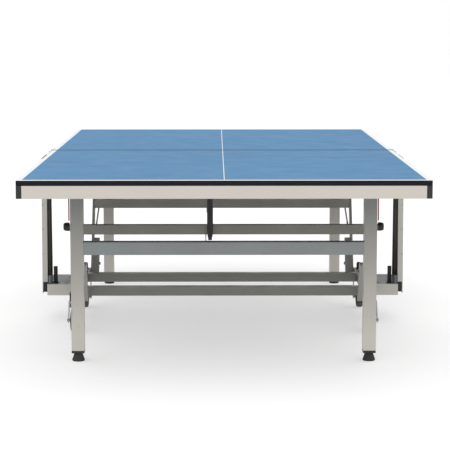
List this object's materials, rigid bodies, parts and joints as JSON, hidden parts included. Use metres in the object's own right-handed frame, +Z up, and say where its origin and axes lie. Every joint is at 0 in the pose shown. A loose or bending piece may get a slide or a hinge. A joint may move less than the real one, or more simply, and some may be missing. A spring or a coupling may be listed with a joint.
{
  "type": "ping pong table",
  "caption": "Folding ping pong table with hinged halves, square legs and a wheeled centre base.",
  "frame": {"origin": "centre of the table at floor level, under the net line", "axes": "+X across the table, +Y along the playing length, +Z up"},
  "size_m": [1.608, 2.74, 0.76],
  "materials": {
    "playing_surface": "matt lacquer",
    "apron_paint": "satin paint",
    "leg_paint": "satin paint",
    "base_paint": "satin paint",
    "black_plastic": "moulded",
    "guide_nylon": "moulded",
    "foot_rubber": "moulded",
    "bright_zinc": "zinc plated",
    "wheel_rubber": "moulded",
    "red_rod": "coated"
  },
  "bodies": {
    "base": {"base_cross_near": "base_paint", "base_cross_far": "base_paint", "base_beam_left": "base_paint", "base_beam_right": "base_paint", "side_tray_left": "apron_paint", "side_tray_right": "apron_paint", "column_left": "apron_paint", "column_right": "apron_paint", "bumpers_left": "black_plastic", "bumpers_right": "black_plastic"},
    "shoes_a": {"shoe_left_a": "guide_nylon", "shoe_right_a": "guide_nylon"},
    "half_a": {"board_a": "playing_surface", "apron_end_a": "apron_paint", "apron_left_a": "apron_paint", "apron_right_a": "apron_paint", "under_rail_left_a": "leg_paint", "under_rail_right_a": "leg_paint"},
    "legs_a": {"leg_left_a": "leg_paint", "leg_right_a": "leg_paint", "leg_bar_a": "leg_paint"},
    "struts_a": {"strut_left_a": "leg_paint", "strut_right_a": "leg_paint", "strut_bar_a": "base_paint"},
    "stay_left_a": {"stay_left_a": "leg_paint"},
    "foot_left_a": {"foot_left_a": "foot_rubber"},
    "stay_right_a": {"stay_right_a": "leg_paint"},
    "foot_right_a": {"foot_right_a": "foot_rubber"},
    "shoes_b": {"shoe_left_b": "guide_nylon", "shoe_right_b": "guide_nylon"},
    "half_b": {"board_b": "playing_surface", "apron_end_b": "apron_paint", "apron_left_b": "apron_paint", "apron_right_b": "apron_paint", "under_rail_left_b": "leg_paint", "under_rail_right_b": "leg_paint"},
    "legs_b": {"leg_left_b": "leg_paint", "leg_right_b": "leg_paint", "leg_bar_b": "leg_paint"},
    "struts_b": {"strut_left_b": "leg_paint", "strut_right_b": "leg_paint", "strut_bar_b": "base_paint"},
    "stay_left_b": {"stay_left_b": "leg_paint"},
    "foot_left_b": {"foot_left_b": "foot_rubber"},
    "stay_right_b": {"stay_right_b": "leg_paint"},
    "foot_right_b": {"foot_right_b": "foot_rubber"},
    "spring_cylinder": {"spring_cylinder": "black_plastic"},
    "spring_rod": {"spring_rod": "bright_zinc"},
    "release_rod_left": {"release_rod_left": "red_rod"},
    "fork_left_near": {"fork_left_near": "bright_zinc"},
    "wheel_left_near": {"wheel_left_near": "wheel_rubber"},
    "fork_left_far": {"fork_left_far": "bright_zinc"},
    "wheel_left_far": {"wheel_left_far": "wheel_rubber"},
    "brake_left": {"brake_left": "bright_zinc"},
    "release_rod_right": {"release_rod_right": "red_rod"},
    "fork_right_near": {"fork_right_near": "bright_zinc"},
    "wheel_right_near": {"wheel_right_near": "wheel_rubber"},
    "fork_right_far": {"fork_right_far": "bright_zinc"},
    "wheel_right_far": {"wheel_right_far": "wheel_rubber"},
    "brake_right": {"brake_right": "bright_zinc"}
  },
  "joints": [
    {"name": "shoe_slide_a", "type": "slide", "parent": "base", "child": "shoes_a", "axis": [0, 0, -1], "range_m": [0, 0.4552]},
    {"name": "fold_a", "type": "hinge", "parent": "shoes_a", "child": "half_a", "pos_m": [0, -0.05, 0.753], "axis": [-1, 0, 0], "range_deg": [0, 90]},
    {"name": "leg_fold_a", "type": "hinge", "parent": "half_a", "child": "legs_a", "pos_m": [0, -0.947, 0.7], "axis": [1, 0, 0], "range_deg": [0, 90]},
    {"name": "strut_fold_a", "type": "hinge", "parent": "base", "child": "struts_a", "pos_m": [0, -0.33, 0.145], "axis": [-1, 0, 0], "range_deg": [0, 46.91]},
    {"name": "stay_turn_left_a", "type": "hinge", "parent": "legs_a", "child": "stay_left_a", "pos_m": [0, -0.947, 0.535], "axis": [-1, 0, 0], "range_deg": [0, 75.3]},
    {"name": "foot_screw_left_a", "type": "slide", "parent": "legs_a", "child": "foot_left_a", "axis": [0, 0, 1], "range_m": [0, 0.006]},
    {"name": "stay_turn_right_a", "type": "hinge", "parent": "legs_a", "child": "stay_right_a", "pos_m": [0, -0.947, 0.535], "axis": [-1, 0, 0], "range_deg": [0, 75.3]},
    {"name": "foot_screw_right_a", "type": "slide", "parent": "legs_a", "child": "foot_right_a", "axis": [0, 0, 1], "range_m": [0, 0.006]},
    {"name": "shoe_slide_b", "type": "slide", "parent": "base", "child": "shoes_b", "axis": [0, 0, -1], "range_m": [0, 0.4552]},
    {"name": "fold_b", "type": "hinge", "parent": "shoes_b", "child": "half_b", "pos_m": [0, 0.05, 0.753], "axis": [1, 0, 0], "range_deg": [0, 90]},
    {"name": "leg_fold_b", "type": "hinge", "parent": "half_b", "child": "legs_b", "pos_m": [0, 0.947, 0.7], "axis": [-1, 0, 0], "range_deg": [0, 90]},
    {"name": "strut_fold_b", "type": "hinge", "parent": "base", "child": "struts_b", "pos_m": [0, 0.33, 0.145], "axis": [1, 0, 0], "range_deg": [0, 46.91]},
    {"name": "stay_turn_left_b", "type": "hinge", "parent": "legs_b", "child": "stay_left_b", "pos_m": [0, 0.947, 0.535], "axis": [1, 0, 0], "range_deg": [0, 75.3]},
    {"name": "foot_screw_left_b", "type": "slide", "parent": "legs_b", "child": "foot_left_b", "axis": [0, 0, 1], "range_m": [0, 0.006]},
    {"name": "stay_turn_right_b", "type": "hinge", "parent": "legs_b", "child": "stay_right_b", "pos_m": [0, 0.947, 0.535], "axis": [1, 0, 0], "range_deg": [0, 75.3]},
    {"name": "foot_screw_right_b", "type": "slide", "parent": "legs_b", "child": "foot_right_b", "axis": [0, 0, 1], "range_m": [0, 0.006]},
    {"name": "spring_turn", "type": "hinge", "parent": "half_a", "child": "spring_rod", "pos_m": [-0.055, -0.635, 0.705], "axis": [-1, 0, 0], "range_deg": [-46.63, 0]},
    {"name": "spring_extend", "type": "slide", "parent": "spring_rod", "child": "spring_cylinder", "axis": [0, 0.4024, -0.9155], "range_m": [0, 0.1351]},
    {"name": "release_pull_left", "type": "slide", "parent": "legs_a", "child": "release_rod_left", "axis": [0, 0, -1], "range_m": [0, 0.003]},
    {"name": "swivel_left_near", "type": "hinge", "parent": "base", "child": "fork_left_near", "pos_m": [-0.6435, -0.3, 0.133], "axis": [0, 0, 1], "continuous": true},
    {"name": "roll_left_near", "type": "hinge", "parent": "fork_left_near", "child": "wheel_left_near", "pos_m": [-0.6435, -0.35, 0.05], "axis": [1, 0, 0], "continuous": true},
    {"name": "swivel_left_far", "type": "hinge", "parent": "base", "child": "fork_left_far", "pos_m": [-0.6435, 0.3, 0.133], "axis": [0, 0, 1], "continuous": true},
    {"name": "roll_left_far", "type": "hinge", "parent": "fork_left_far", "child": "wheel_left_far", "pos_m": [-0.6435, 0.25, 0.05], "axis": [1, 0, 0], "continuous": true},
    {"name": "brake_press_left", "type": "hinge", "parent": "fork_left_near", "child": "brake_left", "pos_m": [-0.6435, -0.335, 0.118], "axis": [1, 0, 0], "range_deg": [0, 7]},
    {"name": "release_pull_right", "type": "slide", "parent": "legs_a", "child": "release_rod_right", "axis": [0, 0, -1], "range_m": [0, 0.003]},
    {"name": "swivel_right_near", "type": "hinge", "parent": "base", "child": "fork_right_near", "pos_m": [0.6435, -0.3, 0.133], "axis": [0, 0, 1], "continuous": true},
    {"name": "roll_right_near", "type": "hinge", "parent": "fork_right_near", "child": "wheel_right_near", "pos_m": [0.6435, -0.35, 0.05], "axis": [1, 0, 0], "continuous": true},
    {"name": "swivel_right_far", "type": "hinge", "parent": "base", "child": "fork_right_far", "pos_m": [0.6435, 0.3, 0.133], "axis": [0, 0, 1], "continuous": true},
    {"name": "roll_right_far", "type": "hinge", "parent": "fork_right_far", "child": "wheel_right_far", "pos_m": [0.6435, 0.25, 0.05], "axis": [1, 0, 0], "continuous": true},
    {"name": "brake_press_right", "type": "hinge", "parent": "fork_right_near", "child": "brake_right", "pos_m": [0.6435, -0.335, 0.118], "axis": [1, 0, 0], "range_deg": [0, 7]}
  ],
  "couplings": [
    {"joint": "shoe_slide_a", "follows": "fold_a", "m_per_rad": 0.28966},
    {"joint": "leg_fold_a", "follows": "fold_a", "ratio": 1},
    {"joint": "strut_fold_a", "follows": "fold_a", "ratio": 0.521},
    {"joint": "stay_turn_left_a", "follows": "fold_a", "ratio": 0.836},
    {"joint": "stay_turn_right_a", "follows": "fold_a", "ratio": 0.836},
    {"joint": "shoe_slide_b", "follows": "fold_b", "m_per_rad": 0.28966},
    {"joint": "leg_fold_b", "follows": "fold_b", "ratio": 1},
    {"joint": "strut_fold_b", "follows": "fold_b", "ratio": 0.521},
    {"joint": "stay_turn_left_b", "follows": "fold_b", "ratio": 0.836},
    {"joint": "stay_turn_right_b", "follows": "fold_b", "ratio": 0.836},
    {"joint": "spring_turn", "follows": "fold_a", "ratio": -0.513},
    {"joint": "spring_extend", "follows": "fold_a", "m_per_rad": 0.0859}
  ]
}
